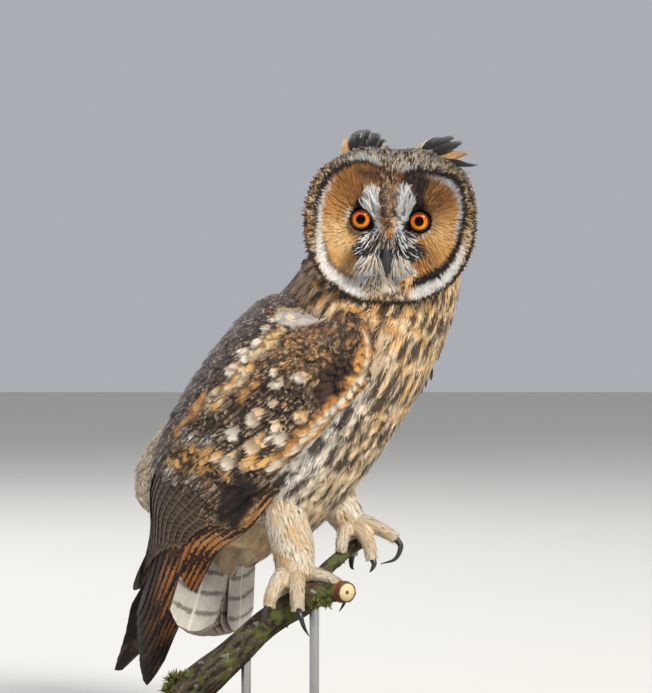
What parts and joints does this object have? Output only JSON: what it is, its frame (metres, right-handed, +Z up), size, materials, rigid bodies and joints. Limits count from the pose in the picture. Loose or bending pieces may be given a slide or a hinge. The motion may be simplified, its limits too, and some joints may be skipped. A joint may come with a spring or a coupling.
{
  "type": "long-eared owl",
  "caption": "Life-size still long-eared owl gripping a cut forked branch, head turned over its right shoulder, held by a plain round display stand",
  "frame": {"origin": "middle of the underside of the stand's base", "axes": "+Z up; the owl's face looks along -Y with its head turned over its right shoulder; its breast faces 30 degrees round from +X towards -Y"},
  "size_m": [0.2303, 0.2, 0.3757],
  "materials": {
    "plumage": "matte, soft body feathers",
    "flight_feathers": "matte, close vanes",
    "leg_down": "matte, downy",
    "eye": "wet gloss",
    "horn": "satin",
    "bark": "rough bark",
    "stand_wood": "satin",
    "stand_steel": "satin"
  },
  "bodies": {
    "root": {"head": "plumage", "neck": "plumage", "torso": "plumage", "eye_right": "eye", "eye_left": "eye", "bill_upper": "horn", "bill_lower": "horn", "ear_tuft_right": "flight_feathers", "ear_tuft_left": "flight_feathers", "wing_right": "flight_feathers", "wing_left": "flight_feathers", "tail": "flight_feathers", "leg_right": "leg_down", "leg_left": "leg_down", "foot_right": "leg_down", "foot_left": "leg_down", "talon_right_1": "horn", "talon_right_2": "horn", "talon_right_3": "horn", "talon_right_4": "horn", "talon_left_1": "horn", "talon_left_2": "horn", "talon_left_3": "horn", "talon_left_4": "horn", "perch_branch": "bark", "perch_fork": "bark", "stand_base": "stand_wood", "stand_rod_1": "stand_steel", "stand_rod_2": "stand_steel"}
  },
  "joints": []
}
